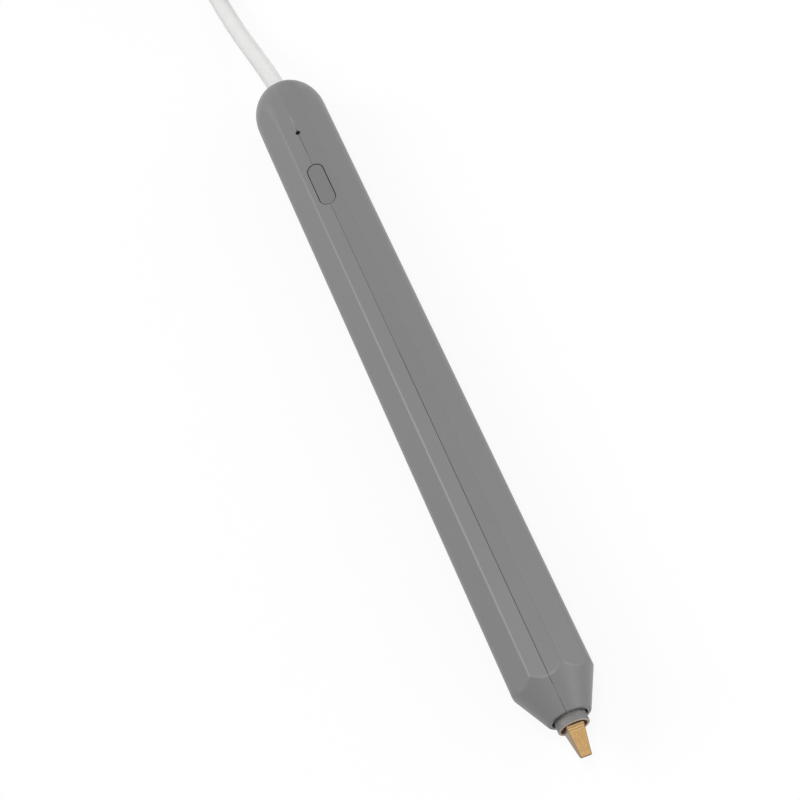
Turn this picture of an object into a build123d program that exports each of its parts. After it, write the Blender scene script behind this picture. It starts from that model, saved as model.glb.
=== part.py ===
from build123d import *
import math
import os

os.makedirs("parts", exist_ok=True)

# The pen lies on its lower flat, along Y: the nib points to -Y, the button faces +Z,
# and the cable leaves the round end at +Y. Sizes are in millimetres.

# Casing
casing_width = 16.15
casing_height = 15.0
corner_cut = 4.85
edge_round = 1.25
flank_round = 3.6
casing_length = 164.3
wall = 1.5
seam_width = 0.13
seam_rear_width = 0.06
seam_depth = 0.22
seam_faint_depth = 0.06
seam_front = 1.4
seam_from_nose = 5.0
seam_past_light = 1.2
nose_half_angle = 26.8
nose_face_radius = 4.24
nose_lip_round = 0.4
shoulder_round = 0.9
dome_height = 9.42
dome_mouth_radius = 3.0
dome_ease = 8.0
dome_ease_steps = 8
dome_steps = 11
dome_corner_ratio = 0.97
dome_round_share = 0.75
nose_mouth_radius = 3.55
nose_mouth_depth = 2.1
web_thickness = 2.0
back_block = 16.0
rib_thickness = 3.0
wire_rib_bore = 3.4
wire_rib_from_nose = (43.0, 67.0)
peg_radius = 0.7
peg_length = 2.2
peg_cover = 1.1

# Clearances
slip = 0.05
peg_slip = 0.1
seat_gap = 0.2

# Nib and its collar
nib_reach = 7.7
nib_tip_width = 2.0
nib_tip_base = 2.45
nib_tip_shift = -0.2
nib_tip_thickness = 0.4
nib_root_width = 3.6
nib_root_base = 3.95
nib_root_thickness = 3.1
nib_root_sink = 0.25
nib_turn = 16.0
nib_edge_cut = 0.16
groove_width = 0.14
groove_depth = 0.08
groove_from_root = (0.55, 1.02)
shank_radius = 1.9
nib_step_sink = 0.8
nib_flange_radius = 2.6
nib_flange_length = 2.0
collar_reach = 1.88
collar_radius = 3.1
collar_rim_radius = 3.12
collar_rim_round = 0.15
collar_bore = 2.6
collar_bore_depth = 5.0
collar_seat_depth = 6.1
collar_flange_radius = 4.6
collar_flange_length = 1.9
collar_tail = 1.0

# Heater
sleeve_length = 10.0
sleeve_radius = 2.6
heater_radius = 1.2
heater_length = 18.5
heater_bore = 0.65
heater_lead_radius = 0.22
thermistor_radius = 0.5
thermistor_length = 3.0
thermistor_round = 0.4
thermistor_lead_radius = 0.12
bush_radius = 4.6
bush_length = 3.0
bush_bore = 1.4
bush_spigot_radius = 1.9
bush_spigot_length = 2.6
bush_wall = 1.6
lead_spread = 0.6
lead_lift = 0.4

# Control board
board_length = 61.8
board_thickness = 1.2
board_from_top = 8.6
board_side_gap = 0.34
board_end_play = 0.1
board_rib_from_front = 10.0
board_rib_clearance = 2.4
board_window = 8.4
stop_bore = 3.4
stop_bore_rise = 0.6
pad_thickness = 0.1
pad_width = 2.0
pad_length = 3.0
pad_offset = 3.2
chip_size = (5.0, 4.0, 1.5)
chip_leg = (1.0, 0.4, 0.25)
chip_leg_step = 1.0
chip_clearance = 0.6
transistor_size = (4.6, 2.6, 1.5)
transistor_tab = (1.8, 0.9, 0.3)
transistor_tab_step = 1.2
capacitor_radius = 2.0
capacitor_height = 5.0
capacitor_round = 0.4
resistor_size = (1.25, 2.0, 0.5)
resistor_step = 2.6
resistor_rows = 2

# Button and switch
button_length = 11.4
button_width = 3.55
button_gap = 0.14
button_sink = 0.05
button_edge = 0.2
button_from_back = 35.2
button_wall = 2.1
button_lip = 0.9
button_flange = 0.8
button_play = 0.1
button_stem_radius = 1.2
button_stem_length = 0.8
switch_side = 6.0
switch_base_height = 3.4
switch_floor = 1.0
switch_well_radius = 2.5
switch_cover = 0.3
plunger_radius = 1.7
plunger_hole_gap = 0.15
plunger_foot_radius = 2.2
plunger_foot_length = 0.8
plunger_nose_radius = 0.8
snap_radius = 2.2
snap_rise = 0.6
snap_sheet = 0.15
terminal_width = 0.7
terminal_length = 1.1
terminal_sheet = 0.2

# Status light
light_from_back = 19.5
light_hole_radius = 0.55
light_rim_round = 0.1
light_recess = 0.25
light_flange_radius = 1.5
light_flange_length = 0.8
light_pipe_radius = 1.0
led_size = (1.6, 2.0, 1.1)

# Cable, its anchor and its power wires
cable_diameter = 4.1
cable_hole_gap = 0.25
cable_hole_round = 0.5
anchor_radius = 4.1
anchor_neck_radius = 3.0
anchor_flange = 1.5
anchor_neck = 2.4
anchor_front_gap = 1.5
power_wire_radius = 0.5
power_wire_offset = 0.9
power_wire_start = 1.2
bend_ratio = 0.45

# Hank of the cable, tied at its waist
hank_gap = 0.8
hank_layer_gap = 0.5
hank_fold_radius = 13.0
hank_run = 64.0
hank_waist = 4.5
hank_near_y = 144.0
tie_width = 8.0
tie_sheet = 0.6
tie_gap = 0.25
tail_offset = 12.0
hank_left_x = -4.9
hank_layers = 4

# Plug
plug_width = 14.5
plug_height = 7.5
plug_length = 21.0
plug_round = 1.6
relief_length = 10.0
relief_radius = 2.9
relief_root_radius = 3.5
usb_width = 12.0
usb_height = 4.5
usb_length = 18.75
usb_sheet = 0.3
usb_window = (2.5, 2.0)
usb_window_spread = 5.0
usb_window_from_mouth = 5.2
tongue_height = 1.95
contact_width = 1.0
contact_sheet = 0.2
contact_spots = (-3.5, -1.0, 1.0, 3.5)
contact_length = 7.5
contact_from_mouth = 1.2

# Places along the pen, worked out from the sizes above
axis_z = casing_height / 2
overall_length = casing_length + nib_reach
tip_y = -overall_length / 2
nose_y = tip_y + nib_reach
back_y = overall_length / 2
corner_radius = math.hypot(casing_width / 2, casing_height / 2 - corner_cut)
nose_slope = math.tan(math.radians(nose_half_angle))
shoulder_end_y = nose_y + (corner_radius - nose_face_radius) / nose_slope
dome_angle = math.acos(dome_mouth_radius / axis_z)
dome_y = back_y - dome_height * math.sin(dome_angle)
bore_radius = axis_z - wall
collar_front_y = nose_y - collar_reach
collar_flange_y = nose_y + collar_seat_depth
collar_rear_y = collar_flange_y + collar_flange_length + collar_tail
cavity_front_y = collar_flange_y + collar_flange_length + web_thickness
cavity_rear_y = back_y - back_block
sleeve_rear_y = collar_rear_y + sleeve_length
nib_rear_y = sleeve_rear_y + nib_flange_length
blade_root_y = collar_front_y + nib_root_sink
bush_rear_y = nib_rear_y + bush_length
button_y = back_y - button_from_back
light_y = back_y - light_from_back
ceiling_z = casing_height - button_wall
board_rear_y = cavity_rear_y - board_end_play
board_front_y = board_rear_y - board_length
board_height = casing_height - board_from_top
board_bottom = board_height - board_thickness
board_reach = math.sqrt(bore_radius ** 2 - (axis_z - board_bottom) ** 2)
board_width = 2 * (board_reach - board_side_gap)
stop_rib_y = board_front_y - board_end_play - rib_thickness
button_flange_top = ceiling_z - button_play
button_flange_bottom = button_flange_top - button_flange
button_reach = button_length / 2 + button_lip + button_gap
switch_top = button_flange_bottom - button_stem_length
light_reach = light_flange_radius + button_gap
first_rib_y = board_front_y + board_rib_from_front
second_rib_y = button_y - button_reach - board_rib_clearance - rib_thickness
third_rib_y = (button_y + button_reach + light_y - light_reach - rib_thickness) / 2
anchor_front_y = cavity_rear_y + anchor_front_gap
anchor_rear_y = anchor_front_y + 2 * anchor_flange + anchor_neck
cable_radius = cable_diameter / 2
floor_z = cable_radius + slip

everything = {}


# Helpers
def rod(radius, y0, y1, x=0.0, z=None):
    """A round rod along the pen."""
    plane = Plane(origin=(x, y0, axis_z if z is None else z), x_dir=(1, 0, 0), z_dir=(0, 1, 0))
    low = (Align.CENTER, Align.CENTER, Align.MIN)
    return plane * Cylinder(radius, y1 - y0, align=low)


def cone_rod(radius0, radius1, y0, y1, x=0.0, z=None):
    """A tapered round rod along the pen."""
    plane = Plane(origin=(x, y0, axis_z if z is None else z), x_dir=(1, 0, 0), z_dir=(0, 1, 0))
    low = (Align.CENTER, Align.CENTER, Align.MIN)
    return plane * Cone(radius0, radius1, y1 - y0, align=low)


def post(radius, z0, z1, y, x=0.0):
    """A round upright post."""
    low = (Align.CENTER, Align.CENTER, Align.MIN)
    return Pos(x, y, z0) * Cylinder(radius, z1 - z0, align=low)


def block(x0, x1, y0, y1, z0, z1):
    """A box between two corners."""
    low = (Align.MIN, Align.MIN, Align.MIN)
    return Pos(x0, y0, z0) * Box(x1 - x0, y1 - y0, z1 - z0, align=low)


def brick(size, x, y, z):
    """A box that stands on height z, centred on x and y."""
    low = (Align.CENTER, Align.CENTER, Align.MIN)
    return Pos(x, y, z) * Box(*size, align=low)


def stadium(length, width, z0, z1, y):
    """An upright block with round ends, long along the pen."""
    return Pos(0, y, z0) * extrude(SlotOverall(length, width, rotation=90), z1 - z0)


def bend_radii(points):
    """The largest arcs that the straight runs of a soft line allow."""
    radii = []
    for before, here, after in zip(points, points[1:], points[2:]):
        into, out = Vector(here) - Vector(before), Vector(after) - Vector(here)
        half_turn = math.radians(into.get_angle(out) / 2)
        radii.append(bend_ratio * min(into.length, out.length) / math.tan(half_turn))
    return radii


def tube(path, radius):
    """A round tube along a path."""
    section = Plane(origin=path @ 0, z_dir=path % 0) * Circle(radius)
    return sweep(section, path=path)


def soft_wire(points, radius):
    """A wire laid along straight runs joined by tangent arcs."""
    return tube(FilletPolyline(*points, radius=bend_radii(points)), radius)


# Outer form of the pen
def outline(width, height, cut, corner, flank, y):
    """An eight-sided section across the pen: a rectangle with cut corners, rounder at its flanks."""
    plane = Plane(origin=(0, y, axis_z), x_dir=(1, 0, 0), z_dir=(0, 1, 0))
    rectangle = Rectangle(width, height)
    eight = chamfer(rectangle.vertices(), cut)
    room = dome_corner_ratio * (min(width, height) / 2 - cut) / math.tan(math.pi / 8)
    sides = eight.vertices().filter_by(lambda v: abs(v.X) > width / 2 - slip)
    eight = fillet(sides, min(flank, room))
    ends = eight.vertices().filter_by(lambda v: abs(v.Y) > height / 2 - slip)
    return plane * fillet(ends, min(corner, room))


def eased(share):
    """A share from nought to one that starts and ends gently."""
    return share ** 2 * (3 - 2 * share)


def back_end():
    """The back of the barrel, where the eight sides swell into one round end."""
    stations = []
    for count in range(dome_ease_steps):
        stations.append((dome_y - dome_ease * (1 - count / dome_ease_steps), 1.0))
    for count in range(dome_steps + 1):
        angle = dome_angle * count / dome_steps
        stations.append((dome_y + dome_height * math.sin(angle), math.cos(angle)))
    start_y = stations[0][0]
    even_cut = casing_height * (1 - math.tan(math.pi / 8)) / 2
    even_corner = dome_corner_ratio * casing_height / 2
    sections = []
    for y, share in stations:
        along = (y - start_y) / (back_y - start_y)
        way = eased(along)
        rounding = eased(min(1, along / dome_round_share))
        cut = corner_cut + (even_cut - corner_cut) * way
        corner = edge_round + (even_corner - edge_round) * rounding
        flank = flank_round + (even_corner - flank_round) * rounding
        sizes = (casing_width, casing_height, cut, corner, flank)
        sections.append(outline(*(size * share for size in sizes), y))
    return loft(sections)


def front_form(inset):
    """The eight-sided barrel and its cone nose, drawn in all round by inset."""
    cut = corner_cut - inset * (2 - math.sqrt(2))
    width, height = casing_width - 2 * inset, casing_height - 2 * inset
    section = outline(width, height, cut, edge_round, flank_round, nose_y)
    barrel = extrude(section, dome_y - dome_ease - nose_y)
    widest = corner_radius + edge_round
    lip = nose_face_radius - inset / math.cos(math.radians(nose_half_angle))
    shoulder = nose_y + (widest - lip) / nose_slope
    corners = [(0, nose_y), (lip, nose_y), (widest, shoulder), (widest, dome_y), (0, dome_y)]
    envelope = revolve(make_face(Polyline(*corners, close=True)), axis=Axis.Y)
    return barrel & Pos(0, 0, axis_z) * envelope


def outer_form():
    """The whole outer form, with its shoulder and its nose lip eased."""
    form = front_form(0) + back_end()
    lip = form.edges().filter_by_position(Axis.Y, nose_y - slip, nose_y + slip)
    form = fillet(lip, nose_lip_round)
    shoulder = form.edges().filter_by(
        lambda e: nose_y + nose_mouth_depth < e.center().Y < shoulder_end_y + edge_round)
    return fillet(shoulder, shoulder_round)


def seam_groove():
    """The fine groove between the casings: widest behind the nose, faint over it and at the back."""
    front, rear = nose_y + seam_from_nose, light_y + seam_past_light
    half, rear_half = seam_width / 2, seam_rear_width / 2
    corners = [(-half, front), (half, front), (rear_half, rear), (-rear_half, rear)]
    groove = extrude(make_face(Polyline(*corners, close=True)), casing_height)
    groove += block(-rear_half, rear_half, nose_y, nose_y + seam_front, 0, casing_height)
    faint = block(-rear_half, rear_half, nose_y, dome_y - dome_ease, 0, casing_height)
    return groove - front_form(seam_depth) + (faint - front_form(seam_faint_depth))


# Casings
def rib(y, cut):
    """A cross wall inside the casings, less what passes through it."""
    return rod(bore_radius + wall / 2, y, y + rib_thickness) - cut


def rib_places():
    """Where each cross wall starts, and what passes through it."""
    places = []
    for distance in wire_rib_from_nose:
        y = nose_y + distance
        places.append((y, rod(wire_rib_bore, y, y + rib_thickness)))
    hole = rod(stop_bore, stop_rib_y, stop_rib_y + rib_thickness, z=axis_z + stop_bore_rise)
    places.append((stop_rib_y, hole))
    half = board_width / 2 + slip
    for y in (first_rib_y, second_rib_y, third_rib_y):
        slot = block(-half, half, y, y + rib_thickness, board_bottom - slip, board_height + slip)
        window = block(-board_window / 2, board_window / 2, y, y + rib_thickness, board_height, ceiling_z)
        places.append((y, slot + window))
    return places


def peg_places():
    """Where the pegs that line up the casings stand: distance along the pen and height."""
    places = [y + rib_thickness / 2 for y, _ in rib_places()]
    places.append(nib_rear_y + bush_length / 2)
    reach = bore_radius + wall - peg_radius - peg_cover
    spots = [(y, axis_z + side * reach) for y in places for side in (-1, 1)]
    middle = back_y - back_block / 3
    spots += [(middle, axis_z + side * (anchor_radius + peg_radius)) for side in (-1, 1)]
    return spots


def casing_hollow():
    """Everything inside the casings that isn't plastic."""
    hollow = rod(nose_mouth_radius, nose_y, nose_y + nose_mouth_depth)
    hollow += rod(collar_radius + slip, nose_y, cavity_front_y)
    flange_rear_y = collar_flange_y + collar_flange_length
    hollow += rod(collar_flange_radius + slip, collar_flange_y - slip, flange_rear_y + slip)
    hollow += rod(bore_radius, cavity_front_y, cavity_rear_y)
    half = button_width / 2 + button_lip + button_gap
    hollow += block(-half, half, button_y - button_reach, button_y + button_reach, axis_z, ceiling_z)
    side = light_reach
    hollow += block(-side, side, light_y - side, light_y + side, axis_z, ceiling_z)
    hollow += rod(anchor_radius + slip, cavity_rear_y, anchor_rear_y + slip)
    hollow += rod(cable_radius + cable_hole_gap, anchor_rear_y, back_y)
    return hollow


def casing_walls():
    """The cross walls, the nib's rear seat and the rib that grips the cable anchor."""
    walls = [rib(y, cut) for y, cut in rib_places()]
    seat = rod(bore_radius + wall / 2, nib_rear_y - bush_wall, bush_rear_y + bush_wall)
    seat -= rod(bush_radius + slip, nib_rear_y - slip, bush_rear_y + slip)
    seat -= rod(nib_flange_radius + seat_gap, nib_rear_y - bush_wall, nib_rear_y)
    seat -= rod(bush_spigot_radius + slip, bush_rear_y, bush_rear_y + bush_wall)
    grip = rod(anchor_radius + wall, anchor_front_y + anchor_flange + slip,
               anchor_front_y + anchor_flange + anchor_neck - slip)
    grip -= rod(anchor_neck_radius + slip, cavity_rear_y, anchor_rear_y)
    return walls + [seat, grip]


def make_casings():
    shell = outer_form() - casing_hollow()
    for piece in casing_walls():
        shell += piece
    slot_length, slot_width = button_length + 2 * button_gap, button_width + 2 * button_gap
    shell -= stadium(slot_length, slot_width, axis_z, casing_height, button_y)
    shell -= post(light_hole_radius, axis_z, casing_height, light_y)
    rim = shell.edges().filter_by(GeomType.CIRCLE).filter_by(
        lambda e: abs(e.radius - light_hole_radius) < slip and e.center().Z > casing_height - slip)
    shell = fillet(rim, light_rim_round)
    mouth = shell.edges().filter_by(GeomType.CIRCLE).filter_by(
        lambda e: abs(e.radius - cable_radius - cable_hole_gap) < slip and e.center().Y > back_y - wall)
    shell = fillet(mouth, cable_hole_round)
    shell -= seam_groove()
    left = shell & block(-casing_width, 0, nose_y, back_y, 0, casing_height)
    right = shell & block(0, casing_width, nose_y, back_y, 0, casing_height)
    for y, z in peg_places():
        across = Plane(origin=(-peg_length, y, z), z_dir=(1, 0, 0))
        low = (Align.CENTER, Align.CENTER, Align.MIN)
        left += across * Cylinder(peg_radius, 2 * peg_length, align=low)
        right -= across * Cylinder(peg_radius + peg_slip, 2 * peg_length + peg_slip, align=low)
    everything["left_casing"] = left
    everything["right_casing"] = right


# Nib, collar and heater
def make_nib():
    def across(y, top, base, thickness, shift=0.0):
        plane = Plane(origin=(shift, y, axis_z), x_dir=(1, 0, 0), z_dir=(0, -1, 0))
        half = thickness / 2
        corners = [(-base / 2, -half), (base / 2, -half), (top / 2, half), (-top / 2, half)]
        return plane * make_face(Polyline(*corners, close=True))

    blade = loft([across(tip_y, nib_tip_width, nib_tip_base, nib_tip_thickness, nib_tip_shift),
                  across(blade_root_y, nib_root_width, nib_root_base, nib_root_thickness)])
    blade = chamfer(blade.edges(), nib_edge_cut)
    lean = math.atan((nib_root_thickness - nib_tip_thickness) / 2 / (blade_root_y - tip_y))
    for distance in groove_from_root:
        y = blade_root_y - distance
        height = nib_root_thickness / 2 - distance * math.tan(lean)
        for side in (-1, 1):
            bar = Box(2 * nib_root_base, groove_width, 2 * groove_depth)
            blade -= Pos(0, y, axis_z + side * height) * Rot(X=side * math.degrees(lean)) * bar
    turn = Pos(0, 0, axis_z) * Rot(Y=nib_turn) * Pos(0, 0, -axis_z)
    nib = turn * blade
    nib += rod(shank_radius, blade_root_y - slip, nib_rear_y)
    bore_end_y = collar_front_y + collar_bore_depth
    nib += rod(collar_bore - seat_gap, collar_front_y + nib_step_sink, bore_end_y - seat_gap)
    nib += rod(nib_flange_radius, sleeve_rear_y, nib_rear_y)
    nib -= rod(heater_radius + slip, nib_rear_y - heater_length - slip, nib_rear_y)
    everything["nib"] = nib


def make_collar():
    collar = rod(collar_radius, nose_y, collar_rear_y)
    collar += cone_rod(collar_rim_radius, collar_radius, collar_front_y, nose_y)
    collar += rod(collar_flange_radius, collar_flange_y, collar_flange_y + collar_flange_length)
    collar -= rod(collar_bore, collar_front_y, collar_front_y + collar_bore_depth)
    collar -= rod(shank_radius + slip, collar_front_y, collar_rear_y)
    rim = collar.edges().filter_by_position(Axis.Y, collar_front_y - slip, collar_front_y + slip)
    everything["tip_collar"] = fillet(rim, collar_rim_round)


def make_heater():
    sleeve = rod(sleeve_radius, collar_rear_y, sleeve_rear_y)
    everything["insulating_sleeve"] = sleeve - rod(shank_radius + slip, collar_rear_y, sleeve_rear_y)
    front = nib_rear_y - heater_length
    core = rod(heater_radius, front, nib_rear_y)
    everything["heater_core"] = core - rod(heater_bore, front, nib_rear_y)
    bead = rod(thermistor_radius, front + slip, front + slip + thermistor_length)
    everything["thermistor"] = fillet(bead.edges().filter_by(GeomType.CIRCLE), thermistor_round)
    bush = rod(bush_radius, nib_rear_y, bush_rear_y)
    bush += rod(bush_spigot_radius, bush_rear_y, bush_rear_y + bush_spigot_length)
    everything["retainer_bush"] = bush - rod(bush_bore, nib_rear_y, bush_rear_y + bush_spigot_length)


def lead_pair(points, radius):
    """A wire and its mirror image across the pen's middle."""
    one = soft_wire(points, radius)
    return Compound(children=[one, mirror(one, about=Plane.YZ)])


def make_leads():
    solder = board_height + pad_thickness
    end_y = board_front_y + pad_length
    mid = (heater_radius + heater_bore) / 2
    behind = bush_rear_y + bush_spigot_length
    first_rib, second_rib = (nose_y + d for d in wire_rib_from_nose)
    stop_middle = stop_rib_y + rib_thickness / 2
    everything["heater_leads"] = lead_pair([
        (mid, nib_rear_y, axis_z),
        (mid, behind, axis_z),
        (mid + lead_spread, first_rib, axis_z + lead_lift),
        (mid + 2 * lead_spread, second_rib, axis_z + lead_lift),
        (mid + 2 * lead_spread, stop_middle, axis_z + lead_lift),
        (pad_offset, board_front_y + pad_length / 3, solder + heater_lead_radius),
        (pad_offset, end_y, solder + heater_lead_radius),
    ], heater_lead_radius)
    inner = thermistor_radius / 2
    bead_rear = nib_rear_y - heater_length + slip + thermistor_length
    everything["thermistor_leads"] = lead_pair([
        (inner, bead_rear, axis_z),
        (inner, behind, axis_z),
        (inner + lead_spread / 2, first_rib, axis_z + 2 * lead_lift),
        (inner + lead_spread, second_rib, axis_z + 2 * lead_lift),
        (inner + lead_spread, stop_middle, axis_z + lead_lift),
        (pad_offset / 3, board_front_y + pad_length / 3, solder + thermistor_lead_radius),
        (pad_offset / 3, end_y, solder + thermistor_lead_radius),
    ], thermistor_lead_radius)


# Control board and what stands on it
def make_board():
    half = board_width / 2
    board = block(-half, half, board_front_y, board_rear_y, board_bottom, board_height)
    everything["control_board"] = board
    wide = (pad_width, pad_length, pad_thickness)
    narrow = (pad_width / 2, pad_length, pad_thickness)
    front, rear = board_front_y + pad_length / 2, board_rear_y - pad_length / 2
    pads = []
    for side in (-1, 1):
        pads.append(brick(wide, side * pad_offset, front, board_height))
        pads.append(brick(wide, side * pad_offset, rear, board_height))
        pads.append(brick(narrow, side * pad_offset / 3, front, board_height))
    everything["solder_pads"] = Compound(children=pads)
    chip_y = first_rib_y + rib_thickness + chip_clearance + chip_size[1] / 2
    chip = brick(chip_size, 0, chip_y, board_height)
    everything["controller_chip"] = fillet(chip.edges().group_by(Axis.Z)[-1], chip_leg[2])
    legs = []
    for side in (-1, 1):
        for step in (-1.5, -0.5, 0.5, 1.5):
            x = side * (chip_size[0] + chip_leg[0]) / 2
            legs.append(brick(chip_leg, x, chip_y + step * chip_leg_step, board_height))
    everything["chip_legs"] = Compound(children=legs)
    transistor_y = first_rib_y - transistor_size[1]
    everything["power_transistor"] = brick(transistor_size, 0, transistor_y, board_height)
    reach = (transistor_size[1] + transistor_tab[1]) / 2
    spots = [(0, reach), (-transistor_tab_step, -reach), (transistor_tab_step, -reach)]
    tabs = [brick(transistor_tab, x, transistor_y + away, board_height) for x, away in spots]
    everything["transistor_tabs"] = Compound(children=tabs)
    capacitor_y = second_rib_y - chip_clearance - capacitor_radius
    can = post(capacitor_radius, board_height, board_height + capacitor_height, capacitor_y)
    everything["capacitor"] = fillet(can.edges().group_by(Axis.Z)[-1], capacitor_round)
    resistors = []
    for row in range(resistor_rows):
        y = button_y - switch_side / 2 - resistor_step * (row + 1) + resistor_size[1] / 2
        for x in (-pad_offset, 0, pad_offset):
            resistors.append(brick(resistor_size, x, y, board_height))
    everything["resistors"] = Compound(children=resistors)


# Button and switch
def make_button():
    bottom = button_flange_bottom
    cap = stadium(button_length, button_width, bottom, casing_height - button_sink, button_y)
    cap = fillet(cap.edges().group_by(Axis.Z)[-1], button_edge)
    flange_length, flange_width = button_length + 2 * button_lip, button_width + 2 * button_lip
    cap += stadium(flange_length, flange_width, bottom, button_flange_top, button_y)
    cap += post(button_stem_radius, switch_top, bottom, button_y)
    everything["power_button"] = cap


def make_switch():
    half = switch_side / 2
    base_top = board_height + switch_base_height
    floor = board_height + switch_floor
    base = block(-half, half, button_y - half, button_y + half, board_height, base_top)
    everything["switch_base"] = base - post(switch_well_radius, floor, base_top, button_y)
    cover = block(-half, half, button_y - half, button_y + half, base_top, base_top + switch_cover)
    cover -= post(plunger_radius + plunger_hole_gap, base_top, base_top + switch_cover, button_y)
    everything["switch_cover"] = cover
    ball = (snap_radius ** 2 + snap_rise ** 2) / (2 * snap_rise)
    centre = Pos(0, button_y, floor + snap_rise - ball)
    cap = centre * (Sphere(ball) - Sphere(ball - snap_sheet))
    keep = post(snap_radius, floor, floor + 2 * snap_rise, button_y)
    everything["switch_dome"] = cap & keep
    crown = floor + snap_rise + slip
    foot_top = base_top - slip
    plunger = post(plunger_radius, foot_top, switch_top, button_y)
    plunger = fillet(plunger.edges().group_by(Axis.Z)[-1], button_edge)
    plunger += post(plunger_foot_radius, foot_top - plunger_foot_length, foot_top, button_y)
    plunger += post(plunger_nose_radius, crown, foot_top, button_y)
    everything["switch_plunger"] = plunger
    terminals = []
    for side in (-1, 1):
        for end in (-1, 1):
            x = side * (half + terminal_length / 2)
            y = button_y + end * (half - terminal_width)
            terminals.append(brick((terminal_length, terminal_width, terminal_sheet), x, y, board_height))
    everything["switch_terminals"] = Compound(children=terminals)


def make_light():
    led_top = board_height + led_size[2]
    everything["status_led"] = brick(led_size, 0, light_y, board_height)
    pipe = post(light_pipe_radius, led_top, ceiling_z, light_y)
    pipe += post(light_flange_radius, ceiling_z - light_flange_length, ceiling_z, light_y)
    pipe += post(light_hole_radius - slip, ceiling_z, casing_height - light_recess, light_y)
    everything["light_pipe"] = pipe


# Cable inside the pen
def make_anchor():
    neck_y = anchor_front_y + anchor_flange
    anchor = rod(anchor_radius, anchor_front_y, neck_y)
    anchor += rod(anchor_neck_radius, neck_y, neck_y + anchor_neck)
    anchor += rod(anchor_radius, neck_y + anchor_neck, anchor_rear_y)
    everything["cable_anchor"] = anchor
    landed = board_height + pad_thickness + power_wire_radius
    red = soft_wire([
        (power_wire_offset, anchor_front_y, axis_z),
        (power_wire_offset, anchor_front_y - power_wire_start, axis_z),
        (pad_offset, board_rear_y - pad_length / 3, landed),
        (pad_offset, board_rear_y - pad_length, landed),
    ], power_wire_radius)
    everything["power_wire_red"] = red
    everything["power_wire_black"] = mirror(red, about=Plane.YZ)


# Cable outside the pen
step = cable_diameter + hank_gap
rise = cable_diameter + hank_layer_gap
hank_reach = hank_fold_radius + 1.25 * step
hank_far_y = hank_near_y + hank_run
hank_x = hank_left_x + hank_reach
waist_y = (hank_near_y + hank_far_y) / 2
tie_lift = tie_sheet + tie_gap
hank_top = floor_z + (hank_layers - 1) * rise + cable_radius
plug_z = hank_top + seat_gap + plug_height / 2
plug_x = hank_x + tail_offset
plug_rear_y = waist_y - tie_width / 2 - cable_radius

lead_route = [
    (0, anchor_rear_y, axis_z),
    (0, 87.2, axis_z),
    (-1.35, 98.5, 6.2),
    (-2.9, 110, 3.4),
    (-4.1, 121.5, floor_z),
    (hank_left_x, 132.8, floor_z),
    (hank_left_x, hank_near_y, floor_z),
]

# Which lane of the hank each run lies in: three folds inward, then outward, in four layers
hank_lanes = [0, 1, 2, 3, 2, 1, 0, 1, 2, 3, 2, 1]


def biarc(p0, t0, p1, t1):
    """Two arcs, tangent to each other, from p0 along t0 to p1 along t1."""
    chord = p1 - p0
    both = t0 + t1
    square = 2 * (1 - t0.dot(t1))
    if square < 1e-9:
        reach = chord.dot(chord) / (2 * chord.dot(both))
    else:
        lean = chord.dot(both)
        reach = (math.sqrt(lean ** 2 + square * chord.dot(chord)) - lean) / square
    q0, q1 = p0 + t0 * reach, p1 - t1 * reach
    middle = (q0 + q1) / 2
    return [TangentArc(p0, middle, tangent=t0), TangentArc(middle, p1, tangent=q1 - q0)]


def lane_x(lane):
    """Where a lane's runs lie across the hank: even lanes left, odd lanes right."""
    side = -1 if lane % 2 == 0 else 1
    return hank_x + side * (hank_reach - lane * step / 2)


def hank_stops():
    """Points along the hank and the way the cable heads there."""
    stops = [(Vector(lane_x(0), hank_near_y, floor_z), Vector(0, 1, 0))]
    for run, lane in enumerate(hank_lanes[:-1]):
        way = 1 if run % 2 == 0 else -1
        start_z = floor_z + max(run - 1, 0) // 3 * rise
        end_z = floor_z + run // 3 * rise
        x = lane_x(lane)
        next_x = lane_x(hank_lanes[run + 1])
        fold_y = hank_far_y if way > 0 else hank_near_y
        heading = Vector(0, way, 0)
        waist = Vector(x + way * hank_waist, waist_y, (start_z + end_z) / 2 + tie_lift)
        stops.append((waist, heading))
        stops.append((Vector(x, fold_y, end_z), heading))
        apex = Vector((x + next_x) / 2, fold_y + way * abs(next_x - x) / 2, end_z)
        stops.append((apex, Vector(way, 0, 0)))
        stops.append((Vector(next_x, fold_y, end_z), -heading))
    stops.append((Vector(plug_x, waist_y + tie_width / 2 + tie_gap, plug_z), Vector(0, -1, 0)))
    return stops


def hank_path():
    stops = hank_stops()
    edges = []
    for (p0, t0), (p1, t1) in zip(stops, stops[1:]):
        edges += biarc(p0, t0, p1, t1)
    edges.append(Line(stops[-1][0], (plug_x, plug_rear_y, plug_z)))
    return Wire(edges)


def least_gap(path, apart):
    """The least clear distance between stretches of the cable that lie apart along it."""
    count = int(path.length / cable_radius)
    spots = [tuple(path.position_at(i / count)) for i in range(count + 1)]
    skip = int(apart / path.length * count)
    pairs = ((a, b) for i, a in enumerate(spots) for b in spots[i + skip:])
    return min(math.dist(a, b) for a, b in pairs) - cable_diameter


def make_cable():
    radii = bend_radii(lead_route)
    lead = FilletPolyline(*lead_route, radius=radii)
    hank = hank_path()
    everything["cable_lead"] = tube(lead, cable_radius)
    everything["cable_hank"] = tube(hank, cable_radius)
    area = math.pi * cable_radius ** 2
    print("lead radii", [round(r, 1) for r in radii])
    print("lead length", round(lead.length, 1), "volume share",
          round(everything["cable_lead"].volume / area / lead.length, 4))
    print("hank length", round(hank.length, 1), "volume share",
          round(everything["cable_hank"].volume / area / hank.length, 4))
    print("hank least gap", round(least_gap(hank, 3 * math.pi * cable_diameter), 2))


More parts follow.
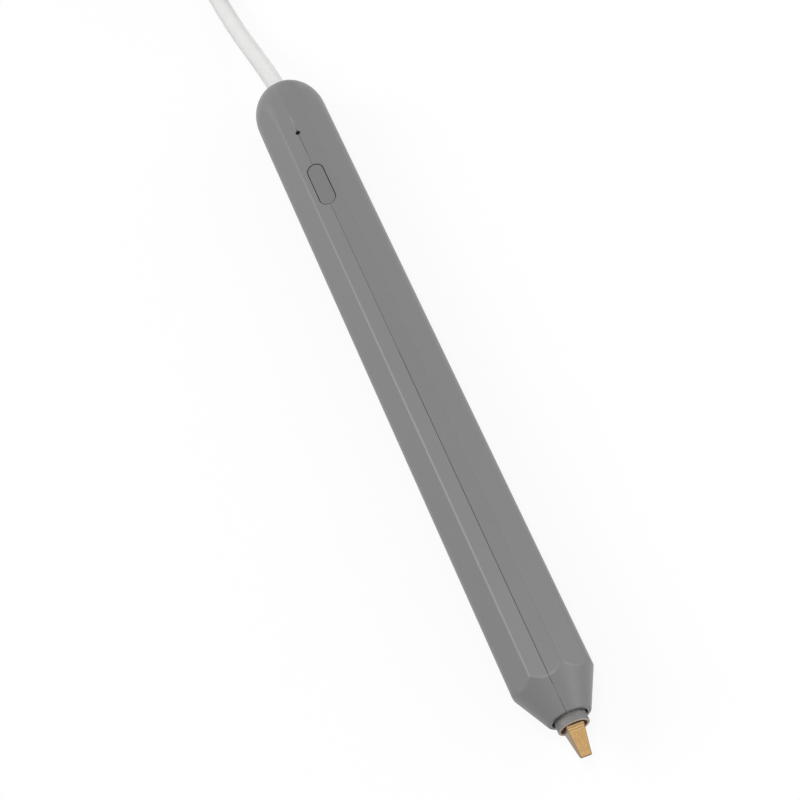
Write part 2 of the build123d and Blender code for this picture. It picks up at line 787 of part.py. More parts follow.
def make_tie():
    left = lane_x(0) + hank_waist - cable_radius - tie_gap
    right = lane_x(1) - hank_waist + cable_radius + tie_gap
    low = tie_sheet
    high = hank_top + tie_lift + tie_gap
    section = Pos((left + right) / 2, (low + high) / 2) * RectangleRounded(
        right - left + 2 * tie_sheet, high - low + 2 * tie_sheet, cable_radius)
    section -= Pos((left + right) / 2, (low + high) / 2) * RectangleRounded(
        right - left, high - low, cable_radius - tie_sheet)
    plane = Plane(origin=(0, waist_y + tie_width / 2, 0), x_dir=(1, 0, 0), z_dir=(0, -1, 0))
    everything["hank_tie"] = extrude(plane * section, tie_width)


# Plug on the end of the cable
def make_plug():
    body_rear_y = plug_rear_y - relief_length
    body_front_y = body_rear_y - plug_length
    half = plug_width / 2
    low, high = plug_z - plug_height / 2, plug_z + plug_height / 2
    body = block(plug_x - half, plug_x + half, body_front_y, body_rear_y, low, high)
    body = fillet(body.edges().filter_by(Axis.Y), plug_round)
    body = fillet(body.faces().sort_by(Axis.Y)[-1].edges(), plug_round / 2)
    body += cone_rod(relief_root_radius, relief_radius, body_rear_y, plug_rear_y, plug_x, plug_z)
    everything["usb_overmould"] = body
    mouth_y = body_front_y - usb_length
    wide, tall = usb_width / 2, usb_height / 2
    shell = block(plug_x - wide, plug_x + wide, mouth_y, body_front_y, plug_z - tall, plug_z + tall)
    shell = fillet(shell.edges().filter_by(Axis.Y), usb_sheet)
    inside = block(plug_x - wide + usb_sheet, plug_x + wide - usb_sheet, mouth_y, body_front_y,
                   plug_z - tall + usb_sheet, plug_z + tall - usb_sheet)
    shell -= inside
    hole = (usb_window[0], usb_window[1], usb_height + usb_sheet)
    hole_y, hole_z = mouth_y + usb_window_from_mouth, plug_z - tall - usb_sheet / 2
    for side in (-1, 1):
        shell -= brick(hole, plug_x + side * usb_window_spread / 2, hole_y, hole_z)
    everything["usb_shell"] = shell
    tongue_top = plug_z - tall + usb_sheet + tongue_height
    everything["usb_tongue"] = block(
        plug_x - wide + usb_sheet, plug_x + wide - usb_sheet, mouth_y + usb_sheet, body_front_y,
        plug_z - tall + usb_sheet, tongue_top)
    strip = (contact_width, contact_length, contact_sheet)
    strip_y = mouth_y + contact_from_mouth + contact_length / 2
    contacts = [brick(strip, plug_x + spot, strip_y, tongue_top) for spot in contact_spots]
    everything["usb_contacts"] = Compound(children=contacts)


make_casings()
make_nib()
make_collar()
make_heater()
make_leads()
make_board()
make_button()
make_switch()
make_light()
make_anchor()
make_cable()
make_tie()
make_plug()

for name, shape in everything.items():
    export_step(shape, f"parts/{name}.step")
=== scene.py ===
import bmesh
import bpy
import math
from mathutils import Matrix, Vector


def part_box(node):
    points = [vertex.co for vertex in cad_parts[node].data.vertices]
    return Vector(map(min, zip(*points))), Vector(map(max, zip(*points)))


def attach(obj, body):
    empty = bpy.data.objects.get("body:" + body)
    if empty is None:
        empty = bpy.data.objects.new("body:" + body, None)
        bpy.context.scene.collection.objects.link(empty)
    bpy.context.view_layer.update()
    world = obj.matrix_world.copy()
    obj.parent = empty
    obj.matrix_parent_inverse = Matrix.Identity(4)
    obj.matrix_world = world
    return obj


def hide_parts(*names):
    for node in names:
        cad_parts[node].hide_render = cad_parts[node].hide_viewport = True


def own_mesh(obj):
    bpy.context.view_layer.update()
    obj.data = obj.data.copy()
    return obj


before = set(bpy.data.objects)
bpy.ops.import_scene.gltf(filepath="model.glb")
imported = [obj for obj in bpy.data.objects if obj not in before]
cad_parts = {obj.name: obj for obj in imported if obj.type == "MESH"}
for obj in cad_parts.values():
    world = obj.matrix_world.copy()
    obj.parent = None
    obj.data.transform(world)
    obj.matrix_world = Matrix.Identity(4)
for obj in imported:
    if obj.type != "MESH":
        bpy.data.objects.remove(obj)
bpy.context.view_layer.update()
scene = bpy.context.scene

# Sizes are in millimetres and angles in degrees, unless a heading says otherwise
MM = 0.001

# Camera
VIEW_TARGET = Vector((-4.223, -1.892, 6.987))
VIEW_DISTANCE = 352.721
VIEW_AZIMUTH = 4.278
VIEW_ELEVATION = 59.24
VIEW_ROLL = -29.421
LENS = 77.664
SENSOR = 36.0
CLIP_START = 10.0

# Pen: the height of its axis, and the way that its nib points
AXIS_Z = 7.5
FRONT = (0, -1, 0)

# Strap that ties the hank: once round its waist, with its end lapped over the top
STRAP_SHEET = 0.6
STRAP_GAP = 0.25
STRAP_LAP = 14.0
STRAP_LAP_LEFT = 5.0
STRAP_LAP_GAP = 0.02
STRAP_CORNER = 2.1
STRAP_STEP = 0.5
STRAP_CORNER_STEPS = 8
# Half of the strap's section: how far across and how far up, as shares of its half width and half sheet
STRAP_SECTION = [(0.0, 0.8), (0.35, 0.8), (0.7, 0.8), (0.82, 1.0), (0.93, 1.0), (1.0, 0.5)]

# Cable
CABLE_RADIUS = 2.05
CABLE_LIFT = 0.05
CABLE_ROUNDNESS = 8
CABLE_SMOOTHNESS = 10
LYING_Z = CABLE_RADIUS + CABLE_LIFT

# Hank: the lane of each run, in layers of three runs that fold inward, then outward
HANK_LANES = [0, 1, 2, 3, 2, 1, 0, 1, 2, 3, 2, 1]
HANK_LAYER_RUNS = 3
HANK_NEAR_Y = 144.0
HANK_RUN = 64.0
HANK_LEFT_X = -4.9
HANK_FOLD = 13.0
HANK_WAIST = 4.5
HANK_LANE_GAP = 0.8
HANK_LAYER_GAP = 0.5
FOLD_POINTS = 4
LANE_STEP = 2 * CABLE_RADIUS + HANK_LANE_GAP
LAYER_RISE = 2 * CABLE_RADIUS + HANK_LAYER_GAP
WAIST_LIFT = STRAP_SHEET + STRAP_GAP
# Half of the hank's width, which leaves the radius HANK_FOLD between its two innermost lanes
HANK_REACH = HANK_FOLD + (2 * max(HANK_LANES) - 1) / 4 * LANE_STEP

# The cable's free stretch, as in the part
LEAD_ROUTE = [
    (0, 76.9, AXIS_Z),
    (0, 87.2, AXIS_Z),
    (-1.35, 98.5, 6.2),
    (-2.9, 110, 3.4),
    (-4.1, 121.5, LYING_Z),
    (HANK_LEFT_X, 132.8, LYING_Z),
    (HANK_LEFT_X, HANK_NEAR_Y, LYING_Z),
]

# Marks on the nib and the collar, painted highlights and painted shade on the nib and painted light in
# the collar's bore among them
NIB_TURN = 16.0
NIB_GROOVES = (-80.48, -80.95)
NIB_GROOVE_HALF = 0.08
NIB_LIP_HALF = 0.2
NIB_EDGE = 0.22
COLLAR_BORE = 2.6
BORE_LIGHT_REACH = 0.1
BORE_LIGHT_EASE = 0.05
LINE_SOFTNESS = 0.3
EDGE_SAMPLES = 8

# Seam of the casings: stretches along Y where painted shade darkens it, and one where a painted highlight
# lightens its edge
SEAM_DARK = [(-78.4, -75.7), (-71.0, 4.0), (60.5, 67.6)]
SEAM_HIGHLIGHT_STRETCH = (68.1, 71.5)
SEAM_EASE = 0.8
SEAM_HALF = 0.075
SEAM_HIGHLIGHT_HALF = 0.12

# Finishes: the casings' grain, how far marks vary roughness, the jacket's milky depth and the weave
CASING_FINISH = {"roughness": 0.38, "spread": 0.012, "grain_mm": 0.22, "depth_mm": 0.003}
MOULDED_VARIES = 0.06
METAL_SMOOTHER = 0.08
METAL_ROUGHER = 0.1
MILKY_DEPTH = 1.2
WEAVE_SCALE = 420
WEAVE_WANDER = 0.4
WEAVE_DEPTH = 0.12

# Colours, linear
LEFT_GREY = (0.205, 0.205, 0.205)
RIGHT_GREY = (0.192, 0.192, 0.192)
BUTTON_GREY = (0.178, 0.178, 0.178)
# The seam's painted shade and painted highlight
SEAM_PAINTED_SHADE = (0.12, 0.12, 0.12)
SEAM_PAINTED_HIGHLIGHT = (0.27, 0.27, 0.27)
BRASS = (0.44, 0.276, 0.118)
# The nib: lighter brass along its edges for wear and a painted highlight, painted shade on its sides,
# chamfers, tip and grooves, and painted highlights on the grooves' lips
BRASS_WEAR_AND_HIGHLIGHT = (0.58, 0.41, 0.235)
SIDE_PAINTED_SHADE = (0.31, 0.235, 0.15)
CHAMFER_PAINTED_SHADE = (0.3, 0.2, 0.105)
EDGE_PAINTED_SHADE = (0.22, 0.175, 0.115)
GROOVE_PAINTED_SHADE = (0.27, 0.17, 0.08)
GROOVE_LIP_HIGHLIGHT = (0.56, 0.375, 0.165)
COLLAR_GREY = (0.198, 0.193, 0.19)
COLLAR_RIM = (0.45, 0.375, 0.335)
# The collar's bore, painted a lighter brown as painted light in its shade
BORE_PAINTED_LIGHT = (0.5, 0.36, 0.3)
CERAMIC_WHITE = (0.78, 0.76, 0.72)
BUSH_BLACK = (0.08, 0.08, 0.085)
LEAD_GREY = (0.55, 0.54, 0.52)
BEAD_AMBER = (0.75, 0.45, 0.25)
BOARD_GREEN = (0.03, 0.16, 0.07)
TIN = (0.62, 0.62, 0.60)
BLACK = (0.02, 0.02, 0.022)
CAN_GREY = (0.65, 0.65, 0.66)
RESISTOR_BLACK = (0.05, 0.05, 0.055)
SWITCH_GREY = (0.58, 0.58, 0.57)
LIGHT_BLACK = (0.006, 0.006, 0.007)
LED_CREAM = (0.80, 0.78, 0.60)
JACKET_WHITE = (0.82, 0.815, 0.805)
WIRE_RED = (0.50, 0.03, 0.03)
STRAP_BLACK = (0.03, 0.03, 0.03)
PLUG_WHITE = (0.74, 0.74, 0.74)
PLUG_GREY = (0.46, 0.46, 0.47)
TONGUE_WHITE = (0.80, 0.80, 0.79)
GOLD = (0.75, 0.53, 0.20)

# Floor and background: shares of white, and the floor's reach in metres
SKY = 0.4
FLOOR_BOUNCE = 0.25
FLOOR_WHITE = 0.88
FLOOR_REACH = 3.0

# Lamps: azimuth and elevation, width in metres and power in watts, at a distance from a point, in metres
LAMPS = {
    "left_softbox": (240, 35, 0.7, 9.3),
    "right_softbox": (90, 20, 1.0, 7.6),
    "front_softbox": (45, 20, 1.0, 5.2),
    "top_softbox": (0, 88, 0.45, 5.4),
    "high_softbox": (0, 60, 1.0, 1.2),
}
LAMP_DISTANCE = 1.6
LAMP_AIM = Vector((0, 0, 0.01))


def add_object(name, data):
    """A new object in the scene."""
    added = bpy.data.objects.new(name, data)
    scene.collection.objects.link(added)
    return added


def direction(azimuth, elevation):
    """The way out from the pen at an azimuth, from the front towards +X, and an elevation."""
    az, el = math.radians(azimuth), math.radians(elevation)
    return Vector((math.sin(az) * math.cos(el), -math.cos(az) * math.cos(el), math.sin(el)))


# Camera
def make_camera():
    back = direction(VIEW_AZIMUTH, VIEW_ELEVATION)
    right = direction(VIEW_AZIMUTH + 90, 0)
    up = back.cross(right)
    roll = math.radians(VIEW_ROLL)
    across = math.cos(roll) * right + math.sin(roll) * up
    upward = math.cos(roll) * up - math.sin(roll) * right
    data = bpy.data.cameras.new("camera")
    data.lens = LENS
    data.sensor_width = SENSOR
    data.clip_start = CLIP_START * MM
    camera = add_object("camera", data)
    turn = Matrix((across, upward, back)).transposed().to_4x4()
    place = (VIEW_TARGET + back * VIEW_DISTANCE) * MM
    camera.matrix_world = Matrix.Translation(place) @ turn
    scene.camera = camera


# Cable
def lane_x(lane):
    """Where a lane's runs lie across the hank: even lanes left, odd lanes right."""
    side = -1 if lane % 2 == 0 else 1
    return HANK_LEFT_X + HANK_REACH + side * (HANK_REACH - lane * LANE_STEP / 2)


def layer_z(run):
    """How high a run ends: the first run of each layer climbs to it."""
    return LYING_Z + max(run, 0) // HANK_LAYER_RUNS * LAYER_RISE


def fold_points(x, next_x, y, z, way):
    """Control points round the half circle from one run to the next."""
    middle_x, radius = (x + next_x) / 2, abs(next_x - x) / 2
    reach = way * radius / math.cos(math.pi / (2 * FOLD_POINTS))
    angles = [math.pi * (step + 0.5) / FOLD_POINTS for step in range(FOLD_POINTS)]
    return [(middle_x - reach * math.cos(a), y + reach * math.sin(a), z) for a in angles]


def hank_points():
    """The folded runs, drawn in at the waist, and the tail that ends in the plug."""
    far_y = HANK_NEAR_Y + HANK_RUN
    waist_y = (HANK_NEAR_Y + far_y) / 2
    inset = HANK_RUN / 8
    points = []
    for run, (lane, next_lane) in enumerate(zip(HANK_LANES, HANK_LANES[1:])):
        way = 1 if run % 2 == 0 else -1
        start_y, fold_y = (HANK_NEAR_Y, far_y) if way > 0 else (far_y, HANK_NEAR_Y)
        start_z, end_z = layer_z(run - 1), layer_z(run)
        waist_z = (start_z + end_z) / 2 + WAIST_LIFT
        x = lane_x(lane)
        waist_x = x + way * HANK_WAIST
        points += [
            (x, start_y + way * inset, start_z),
            (waist_x, waist_y - way * inset, waist_z),
            (waist_x, waist_y + way * inset, waist_z),
            (x, fold_y - way * inset, end_z),
        ]
        points += fold_points(x, lane_x(next_lane), fold_y, end_z, way)
    low, high = (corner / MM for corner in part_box("usb_overmould"))
    plug_x, plug_z = (low.x + high.x) / 2, (low.z + high.z) / 2
    tail_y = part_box("hank_tie")[1].y / MM + STRAP_GAP
    quarter = (far_y - tail_y) / 4
    points.append((lane_x(HANK_LANES[-1]), far_y - quarter, layer_z(len(HANK_LANES) - 1)))
    points.append((plug_x, tail_y + quarter, plug_z))
    points.append((plug_x, high.y, plug_z))
    return points


def make_cable():
    """One smooth tube from the pen to the plug."""
    curve = bpy.data.curves.new("cable", "CURVE")
    curve.dimensions = "3D"
    curve.bevel_depth = 1.0
    curve.bevel_resolution = CABLE_ROUNDNESS
    curve.resolution_u = CABLE_SMOOTHNESS
    curve.use_fill_caps = True
    route = LEAD_ROUTE + hank_points()
    spline = curve.splines.new("NURBS")
    spline.points.add(len(route) - 1)
    for point, place in zip(spline.points, route):
        point.co = (*(v * MM for v in place), 1.0)
        point.radius = CABLE_RADIUS * MM
    spline.order_u = 3
    spline.use_endpoint_u = True
    cable = add_object("cable", curve)
    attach(cable, "pen")
    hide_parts("cable_lead", "cable_hank")
    return cable


# Strap
def lap_lift(past_start):
    """How far the strap's end stands off where it comes to lie on its start."""
    rise = min(max(past_start / (2 * STRAP_CORNER) + 1, 0), 1)
    return (STRAP_SHEET + STRAP_LAP_GAP) * rise * rise * (3 - 2 * rise)


def corner_walk(centre, radius, out, turned):
    """Points round a corner of the strap, and the way out at each."""
    walk = []
    for step in range(1, STRAP_CORNER_STEPS):
        angle = math.pi / 2 * step / STRAP_CORNER_STEPS
        way = math.cos(angle) * out + math.sin(angle) * turned
        walk.append((centre + way * radius, way))
    return walk


def strap_walk(low, high):
    """Points of the strap's middle line and the way out at each, from under the lap to its end."""
    half = STRAP_SHEET / 2
    left, right, base, top = low.x + half, high.x - half, low.z + half, high.z - half
    radius = STRAP_CORNER - half
    start_x = left + STRAP_LAP_LEFT
    runs = [
        ((start_x, top), (right - radius, top), (0, 1)),
        ((right, top - radius), (right, base + radius), (1, 0)),
        ((right - radius, base), (left + radius, base), (0, -1)),
        ((left, base + radius), (left, top - radius), (-1, 0)),
        ((left + radius, top), (start_x + STRAP_LAP, top), (0, 1)),
    ]
    walk = []
    for number, run in enumerate(runs, 1):
        start, end, out = (Vector(pair) for pair in run)
        count = max(2, round((end - start).length / STRAP_STEP))
        places = [start.lerp(end, step / count) for step in range(count + 1)]
        if number < len(runs):
            turned = Vector(runs[number][2])
            walk += [(place, out) for place in places]
            walk += corner_walk(end - out * radius, radius, out, turned)
        else:
            walk += [(place + out * lap_lift(place.x - start_x), out) for place in places]
    return walk


def make_strap():
    """The strap, with raised woven edges."""
    low, high = (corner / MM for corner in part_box("hank_tie"))
    middle_y, half_width = (low.y + high.y) / 2, (high.y - low.y) / 2
    upper = [(-across, up) for across, up in STRAP_SECTION[:0:-1]] + STRAP_SECTION
    section = upper + [(across, -up) for across, up in reversed(upper)]
    mesh = bmesh.new()
    rows = []
    for place, out in strap_walk(low, high):
        row = []
        for across, up in section:
            spot = place + out * up * STRAP_SHEET / 2
            row.append(mesh.verts.new(Vector((spot.x, middle_y + across * half_width, spot.y)) * MM))
        rows.append(row)
    for before, after in zip(rows, rows[1:]):
        for i in range(len(section)):
            j = (i + 1) % len(section)
            mesh.faces.new((before[i], before[j], after[j], after[i]))
    mesh.faces.new(rows[0][::-1])
    mesh.faces.new(rows[-1])
    bmesh.ops.recalc_face_normals(mesh, faces=mesh.faces)
    data = bpy.data.meshes.new("tie_strap")
    mesh.to_mesh(data)
    mesh.free()
    for face in data.polygons:
        face.use_smooth = len(face.vertices) == 4
    strap = add_object("tie_strap", data)
    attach(strap, "pen")
    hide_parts("hank_tie")
    return strap


# Switch
def make_snap_dome():
    """A copy of the switch's dome, in the pen's body, with a mesh of its own."""
    dome = add_object("snap_dome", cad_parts["switch_dome"].data.copy())
    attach(dome, "pen")
    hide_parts("switch_dome")
    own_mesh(dome)
    return dome


# Materials
def add_node(tree, kind, inputs=None, **settings):
    """A new node with its settings and its inputs, which are other nodes' outputs or plain values."""
    node = tree.nodes.new("ShaderNode" + kind)
    for setting, value in settings.items():
        setattr(node, setting, value)
    for socket, value in (inputs or {}).items():
        if isinstance(value, bpy.types.NodeSocket):
            tree.links.new(value, node.inputs[socket])
        else:
            node.inputs[socket].default_value = value
    return node


def remap(tree, share, low, high):
    """A share from zero to one, brought between low and high."""
    return add_node(tree, "MapRange", {"Value": share, "To Min": low, "To Max": high}).outputs["Result"]


class Look:
    """A material with its node tree, its main shader and the object's own coordinates."""

    def __init__(self, name, metallic=0.0, roughness=0.5):
        self.material = bpy.data.materials.new(name)
        self.material.use_nodes = True
        self.tree = self.material.node_tree
        self.shader = self.tree.nodes["Principled BSDF"]
        self.set("Metallic", metallic)
        self.set("Roughness", roughness)
        self.place = self.node("TexCoord").outputs["Object"]

    def set(self, socket, value):
        self.shader.inputs[socket].default_value = value

    def link(self, output, socket):
        self.tree.links.new(output, self.shader.inputs[socket])

    def node(self, kind, inputs=None, **settings):
        return add_node(self.tree, kind, inputs, **settings)

    def calculate(self, operation, *values):
        return self.node("Math", dict(enumerate(values)), operation=operation).outputs["Value"]

    def vector_math(self, operation, output, first, second):
        return self.node("VectorMath", {0: first, 1: second}, operation=operation).outputs[output]

    def span(self, value, start, end):
        """Zero before start and one after end, eased between them."""
        ends = {"Value": value, "From Min": start, "From Max": end}
        return self.node("MapRange", ends, interpolation_type="SMOOTHSTEP").outputs["Result"]

    def noise(self, size_mm, detail=2.0, stretch=(1, 1, 1)):
        """A noise whose grain is about size_mm, drawn out along an axis by stretch."""
        shrink = [1 / s for s in stretch]
        place = self.node("Mapping", {"Vector": self.place, "Scale": shrink}).outputs["Vector"]
        inputs = {"Vector": place, "Scale": 1 / (size_mm * MM), "Detail": detail}
        return self.node("TexNoise", inputs).outputs["Fac"]

    def tones(self, factor, colour, darkest, lightest, low=0.3, high=0.7):
        """A colour times a share that goes with a factor, from darkest at low to lightest at high."""
        ramp = self.node("ValToRGB", {"Fac": factor})
        ends = zip(ramp.color_ramp.elements, (low, high), (darkest, lightest))
        for element, place, share in ends:
            element.position = place
            element.color = (*(min(1.0, c * share) for c in colour), 1)
        return ramp.outputs["Color"]

    def over(self, under, colour, share):
        """A colour laid over another where share is one."""
        inputs = {"Factor": share, "A": under, "B": (*colour, 1)}
        return self.node("Mix", inputs, data_type="RGBA").outputs["Result"]

    def facing(self, way, start, end):
        """One on faces that look along a way fixed to the piece."""
        normal = self.node("TexCoord").outputs["Normal"]
        return self.span(self.vector_math("DOT_PRODUCT", "Value", normal, way), start, end)

    def near_edge(self, reach_mm, start, end):
        """One on a strip along the piece's edges."""
        bevel = self.node("Bevel", {"Radius": reach_mm * MM}, samples=EDGE_SAMPLES).outputs["Normal"]
        plain = self.node("NewGeometry").outputs["Normal"]
        return self.span(self.vector_math("DOT_PRODUCT", "Value", bevel, plain), start, end)

    def along(self, axis):
        """The place along X, Y or Z, in metres."""
        return self.node("SeparateXYZ", {"Vector": self.place}).outputs[axis]

    def fine_line(self, axis, place_mm, half_width_mm):
        """One on a fine line at a place along an axis, with soft sides."""
        distance = self.calculate("ABSOLUTE", self.calculate("SUBTRACT", self.along(axis), place_mm * MM))
        outside, inside = (half_width_mm * (1 + side * LINE_SOFTNESS) * MM for side in (1, -1))
        return self.span(distance, outside, inside)

    def stretch(self, axis, low_mm, high_mm, ease_mm):
        """One between two places along an axis, eased at both ends."""
        place = self.along(axis)
        after = self.span(place, (low_mm - ease_mm) * MM, (low_mm + ease_mm) * MM)
        before = self.span(place, (high_mm + ease_mm) * MM, (high_mm - ease_mm) * MM)
        return self.calculate("MULTIPLY", after, before)

    def near_axis(self, radius_mm, ease_mm):
        """One within a radius of the pen's own axis, which runs along Y."""
        flat = self.vector_math("MULTIPLY", "Vector", self.place, (1, 0, 1))
        away = self.vector_math("DISTANCE", "Value", flat, (0, 0, AXIS_Z * MM))
        return self.span(away, (radius_mm + ease_mm) * MM, (radius_mm - ease_mm) * MM)

    def paint(self, colour):
        self.link(colour, "Base Color")

    def vary_roughness(self, factor, low, high):
        self.link(remap(self.tree, factor, low, high), "Roughness")

    def bump(self, height, depth_mm):
        normal = self.node("Bump", {"Height": height, "Distance": depth_mm * MM}).outputs["Normal"]
        self.link(normal, "Normal")


def moulded(name, colour, roughness=0.5, spread=0.04, grain_mm=0.25, depth_mm=0.01, marks=None):
    """A moulded plastic with a fine spark-eroded grain, faint clouding and any marks laid over them, such
    as painted shade and a painted highlight in a seam.
    """
    look = Look(name, roughness=roughness)
    clouds = look.noise(size_mm=9.0, detail=3.0)
    shown = look.tones(clouds, colour, 1 - spread, 1 + spread)
    look.paint(marks(look, shown) if marks else shown)
    grain = look.noise(grain_mm)
    look.vary_roughness(grain, roughness - MOULDED_VARIES, roughness + MOULDED_VARIES)
    look.bump(grain, depth_mm)
    return look.material


def seam_shade_and_highlight(look, shown):
    """The seam of the casings: painted shade that darkens it along stretches, and a painted highlight
    that lightens its edge along one stretch.
    """
    # Painted shade along the seam
    for start, end in SEAM_DARK:
        line, stretch = look.fine_line("X", 0, SEAM_HALF), look.stretch("Y", start, end, SEAM_EASE)
        shown = look.over(shown, SEAM_PAINTED_SHADE, look.calculate("MULTIPLY", line, stretch))
    # A painted highlight along the seam's edge
    line, stretch = look.fine_line("X", 0, SEAM_HIGHLIGHT_HALF), look.stretch("Y", *SEAM_HIGHLIGHT_STRETCH, SEAM_EASE)
    return look.over(shown, SEAM_PAINTED_HIGHLIGHT, look.calculate("MULTIPLY", line, stretch))


def metal(name, colour, roughness=0.3, stretch=(1, 1, 1)):
    """A metal with fine marks, drawn out along the way it was worked."""
    look = Look(name, metallic=1.0, roughness=roughness)
    clouds = look.noise(size_mm=2.5)
    look.paint(look.tones(clouds, colour, darkest=0.88, lightest=1.06))
    marks = look.noise(size_mm=0.2, detail=3.0, stretch=stretch)
    look.vary_roughness(marks, roughness - METAL_SMOOTHER, roughness + METAL_ROUGHER)
    look.bump(marks, depth_mm=0.004)
    return look.material


def brass(name, colour):
    """A milled brass blade: lighter along its face's edges for wear and a painted highlight, with painted
    highlights on its grooves' lips and painted shade in its grooves, on its sides and on its tip.
    """
    look = Look(name, metallic=1.0)
    clouds = look.noise(size_mm=0.45, detail=3.0)
    shown = look.tones(clouds, colour, darkest=0.92, lightest=1.09, low=0.4, high=0.6)
    # Wear and a painted highlight along the face's edges
    shown = look.over(shown, BRASS_WEAR_AND_HIGHLIGHT, look.near_edge(NIB_EDGE, start=0.995, end=0.97))
    # Painted highlights on the lips beside the grooves, then painted shade in the grooves
    for tone, half_width in ((GROOVE_LIP_HIGHLIGHT, NIB_LIP_HALF), (GROOVE_PAINTED_SHADE, NIB_GROOVE_HALF)):
        for y in NIB_GROOVES:
            shown = look.over(shown, tone, look.fine_line("Y", y, half_width))
    turn = math.radians(NIB_TURN)
    right = Vector((math.cos(turn), 0, -math.sin(turn)))
    # Painted shade on the left chamfer and, darker, on the left side
    shown = look.over(shown, CHAMFER_PAINTED_SHADE, look.facing(-right, start=0.4, end=0.6))
    shown = look.over(shown, SIDE_PAINTED_SHADE, look.facing(-right, start=0.85, end=0.95))
    # Painted shade on the right side and on the faces that look forward, the tip among them
    shown = look.over(shown, EDGE_PAINTED_SHADE, look.facing(right, start=0.35, end=0.6))
    shown = look.over(shown, EDGE_PAINTED_SHADE, look.facing(FRONT, start=0.4, end=0.65))
    look.paint(shown)
    marks = look.noise(size_mm=0.12, detail=3.0, stretch=(1, 12, 1))
    look.vary_roughness(marks, low=0.28, high=0.46)
    look.bump(marks, depth_mm=0.004)
    return look.material


def worn_steel(name, colour, rim, bore):
    """A rough grey steel sleeve, speckled by heat, with a lighter worn rim and a bore painted a lighter
    brown, as painted light.
    """
    look = Look(name, metallic=0.6)
    specks = look.noise(size_mm=0.22, detail=3.0)
    shown = look.tones(specks, colour, darkest=0.8, lightest=1.2)
    # Painted light: the bore is painted a lighter brown, as if light fell into it
    shown = look.over(shown, bore, look.near_axis(COLLAR_BORE + BORE_LIGHT_REACH, BORE_LIGHT_EASE))
    look.paint(look.over(shown, rim, look.facing(FRONT, start=0.3, end=0.6)))
    look.vary_roughness(specks, low=0.52, high=0.72)
    look.bump(specks, depth_mm=0.02)
    return look.material


def clear_plastic(name, colour, roughness=0.15):
    """A tinted glass or resin that lets some light through."""
    look = Look(name, roughness=roughness)
    look.paint(look.tones(look.noise(size_mm=1.0), colour, darkest=0.85, lightest=1.1))
    look.set("Transmission Weight", 0.3)
    return look.material


def smoked_plastic(name, colour):
    """A dark light guide, almost black while its light is off."""
    look = Look(name)
    look.paint(look.tones(look.noise(size_mm=1.0), colour, darkest=0.85, lightest=1.15))
    look.set("Specular IOR Level", 0.1)
    return look.material


def jacket(name, colour):
    """The cable's smooth, slightly milky jacket."""
    look = Look(name)
    clouds = look.noise(size_mm=6.0, detail=3.0)
    look.paint(look.tones(clouds, colour, darkest=0.97, lightest=1.02))
    look.set("Subsurface Weight", 0.35)
    look.set("Subsurface Radius", [MILKY_DEPTH * MM] * 3)
    grain = look.noise(size_mm=0.5)
    look.vary_roughness(grain, low=0.33, high=0.45)
    look.bump(grain, depth_mm=0.001)
    return look.material


def woven(name, colour):
    """A woven strap: two crossed waves and a little sheen."""
    look = Look(name, roughness=0.85)
    inputs = {"Vector": look.place, "Scale": WEAVE_SCALE, "Distortion": WEAVE_WANDER}
    threads = [look.node("TexWave", inputs, bands_direction=axis).outputs["Fac"] for axis in ("X", "Y")]
    weave = look.calculate("MULTIPLY", *threads)
    look.paint(look.tones(weave, colour, darkest=0.6, lightest=1.6, low=0.0, high=1.0))
    look.bump(weave, WEAVE_DEPTH)
    look.set("Sheen Weight", 0.3)
    return look.material


def dress(material, *pieces):
    """Give a material to pieces, and to nodes of the part by name."""
    for piece in pieces:
        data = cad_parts[piece].data if isinstance(piece, str) else piece.data
        data.materials.clear()
        data.materials.append(material)


# Floor, background and lamps
def seen_ray(tree):
    """One for a ray that shows the background: straight from the camera, mirrored or through glass."""
    path = add_node(tree, "LightPath")
    seen = path.outputs["Is Camera Ray"]
    for name in ("Is Glossy Ray", "Is Transmission Ray"):
        either = add_node(tree, "Math", {0: seen, 1: path.outputs[name]}, operation="MAXIMUM")
        seen = either.outputs["Value"]
    return seen


def make_floor():
    """Matt paper that is seen nearly white, keeps the pen's shadow and throws a little light back."""
    data = bpy.data.meshes.new("floor")
    signs = [(-1, -1), (1, -1), (1, 1), (-1, 1)]
    data.from_pydata([(x * FLOOR_REACH, y * FLOOR_REACH, 0) for x, y in signs], [], [(0, 1, 2, 3)])
    floor = add_object("floor", data)
    look = Look("floor_paper", roughness=0.9)
    look.material.cycles.emission_sampling = "NONE"
    look.set("Specular IOR Level", 0.0)
    seen = seen_ray(look.tree)
    look.paint(remap(look.tree, seen, FLOOR_BOUNCE, 1.0))
    white = look.node("Emission", {"Strength": 1.0}).outputs["Emission"]
    share = look.calculate("MULTIPLY", seen, FLOOR_WHITE)
    mix = look.node("MixShader", {"Fac": share, 1: look.shader.outputs["BSDF"], 2: white})
    look.tree.links.new(mix.outputs["Shader"], look.tree.nodes["Material Output"].inputs["Surface"])
    data.materials.append(look.material)


def make_world():
    """A background that is seen white and lights the pen less."""
    scene.world = bpy.data.worlds.new("studio")
    scene.world.use_nodes = True
    tree = scene.world.node_tree
    back = tree.nodes["Background"]
    back.inputs["Color"].default_value = (1, 1, 1, 1)
    tree.links.new(remap(tree, seen_ray(tree), SKY, 1.0), back.inputs["Strength"])


def make_lamp(name, azimuth, elevation, width, power):
    """A soft square lamp that looks at the pen from a direction."""
    data = bpy.data.lights.new(name, "AREA")
    data.size = width
    data.energy = power
    lamp = add_object(name, data)
    toward = direction(azimuth, elevation)
    lamp.location = LAMP_AIM + toward * LAMP_DISTANCE
    lamp.rotation_mode = "QUATERNION"
    lamp.rotation_quaternion = toward.to_track_quat("Z", "Y")


# Pieces
make_camera()
cable = make_cable()
strap = make_strap()
snap_dome = make_snap_dome()

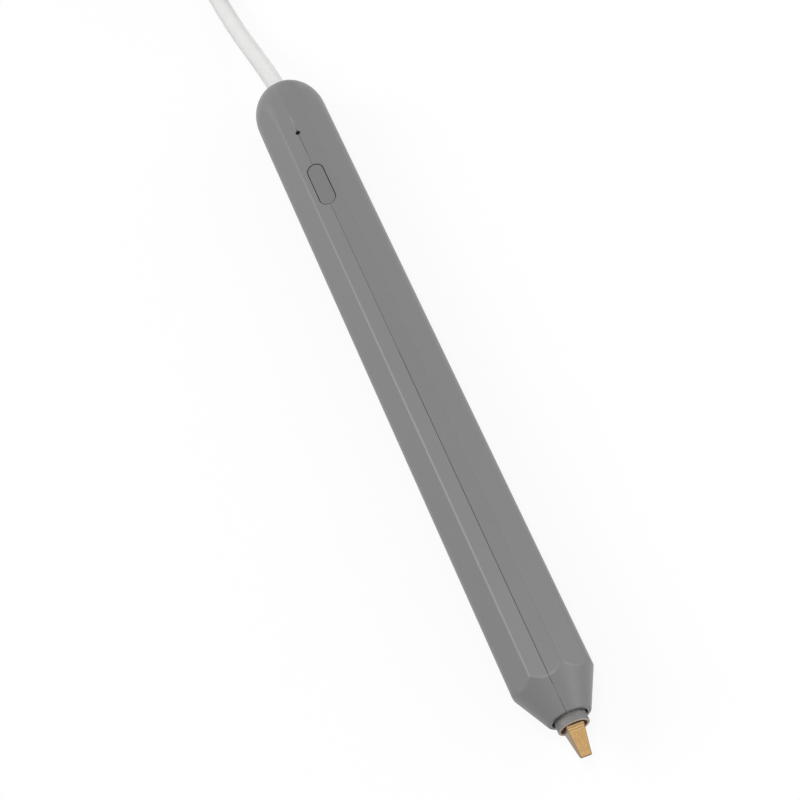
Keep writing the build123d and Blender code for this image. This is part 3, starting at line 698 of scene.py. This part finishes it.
# Casings, button and cable
dress(moulded("left_plastic", LEFT_GREY, marks=seam_shade_and_highlight, **CASING_FINISH), "left_casing")
dress(moulded("right_plastic", RIGHT_GREY, marks=seam_shade_and_highlight, **CASING_FINISH), "right_casing")
dress(moulded("button_plastic", BUTTON_GREY, **CASING_FINISH), "power_button")
dress(jacket("cable_jacket", JACKET_WHITE), "cable_anchor", "cable_lead", "cable_hank", cable)
dress(woven("tie_strap", STRAP_BLACK), "hank_tie", strap)

# Nib, heater and what holds them
dress(brass("nib_brass", BRASS), "nib")
dress(worn_steel("collar_steel", COLLAR_GREY, COLLAR_RIM, BORE_PAINTED_LIGHT), "tip_collar")
ceramic = moulded("white_ceramic", CERAMIC_WHITE, roughness=0.7, grain_mm=0.3)
dress(ceramic, "insulating_sleeve", "heater_core")
dress(moulded("bush_plastic", BUSH_BLACK), "retainer_bush")
dress(metal("lead_wire", LEAD_GREY, stretch=(1, 20, 1)), "heater_leads", "thermistor_leads")
dress(clear_plastic("bead_glass", BEAD_AMBER), "thermistor")

# Board, switch and light
board = moulded("board_laminate", BOARD_GREEN, roughness=0.35, spread=0.15, grain_mm=0.6)
dress(board, "control_board")
tinned = metal("tinned_metal", TIN)
dress(tinned, "solder_pads", "chip_legs", "transistor_tabs", "switch_terminals")
package = moulded("black_package", BLACK, spread=0.2)
dress(package, "controller_chip", "power_transistor", "switch_base", "switch_plunger")
dress(metal("capacitor_can", CAN_GREY, roughness=0.25, stretch=(1, 1, 12)), "capacitor")
dress(moulded("resistor_body", RESISTOR_BLACK, roughness=0.4, spread=0.2), "resistors")
switch_metal = metal("switch_metal", SWITCH_GREY, roughness=0.28, stretch=(12, 1, 1))
dress(switch_metal, "switch_cover", "switch_dome", snap_dome)
dress(smoked_plastic("light_clear", LIGHT_BLACK), "light_pipe")
dress(clear_plastic("led_package", LED_CREAM, roughness=0.25), "status_led")

# Wires and plug
dress(moulded("wire_red", WIRE_RED, roughness=0.35), "power_wire_red")
dress(moulded("wire_black", BLACK, roughness=0.35, spread=0.2), "power_wire_black")
dress(moulded("plug_plastic", PLUG_WHITE, roughness=0.45, spread=0.02, grain_mm=0.3), "usb_overmould")
dress(metal("plug_steel", PLUG_GREY, roughness=0.42, stretch=(1, 12, 1)), "usb_shell")
dress(moulded("tongue_plastic", TONGUE_WHITE, roughness=0.4), "usb_tongue")
dress(metal("contact_gold", GOLD, roughness=0.25, stretch=(1, 10, 1)), "usb_contacts")

# Studio
make_floor()
make_world()
for name, settings in LAMPS.items():
    make_lamp(name, *settings)
scene.view_settings.view_transform = "Standard"
